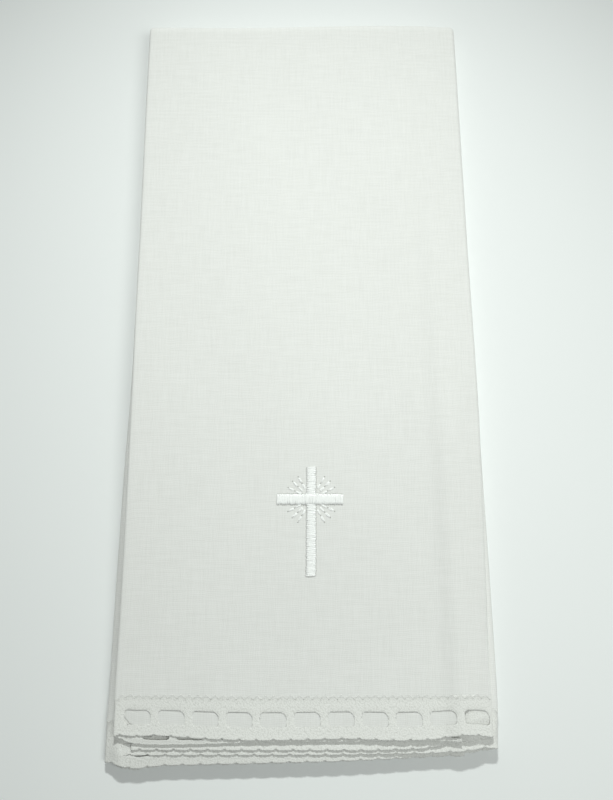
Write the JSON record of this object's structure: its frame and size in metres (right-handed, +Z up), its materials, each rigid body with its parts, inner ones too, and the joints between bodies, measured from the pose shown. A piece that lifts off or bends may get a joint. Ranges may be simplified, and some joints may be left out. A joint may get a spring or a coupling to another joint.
{
  "type": "purificator",
  "caption": "Folded white linen altar cloth with a narrow lace edging on its short ends and a raised Latin cross embroidered on top.",
  "frame": {"origin": "centre of the folded cloth's footprint, on the surface it lies on", "axes": "+Z up out of the top layer, +Y along the folded strip toward the crosswise fold, +X to the right as seen from above with the lace end nearest"},
  "size_m": [0.1104, 0.2314, 0.0087],
  "materials": {
    "linen": "plain-woven white linen, matt, pressed",
    "lace": "white cotton machine lace, matt",
    "embroidery_thread": "white cotton satin stitch with a soft sheen"
  },
  "bodies": {
    "root": {"linen_cloth": "linen", "lace_edging_upper": "lace", "lace_edging_lower": "lace", "embroidered_cross": "embroidery_thread"}
  },
  "joints": []
}
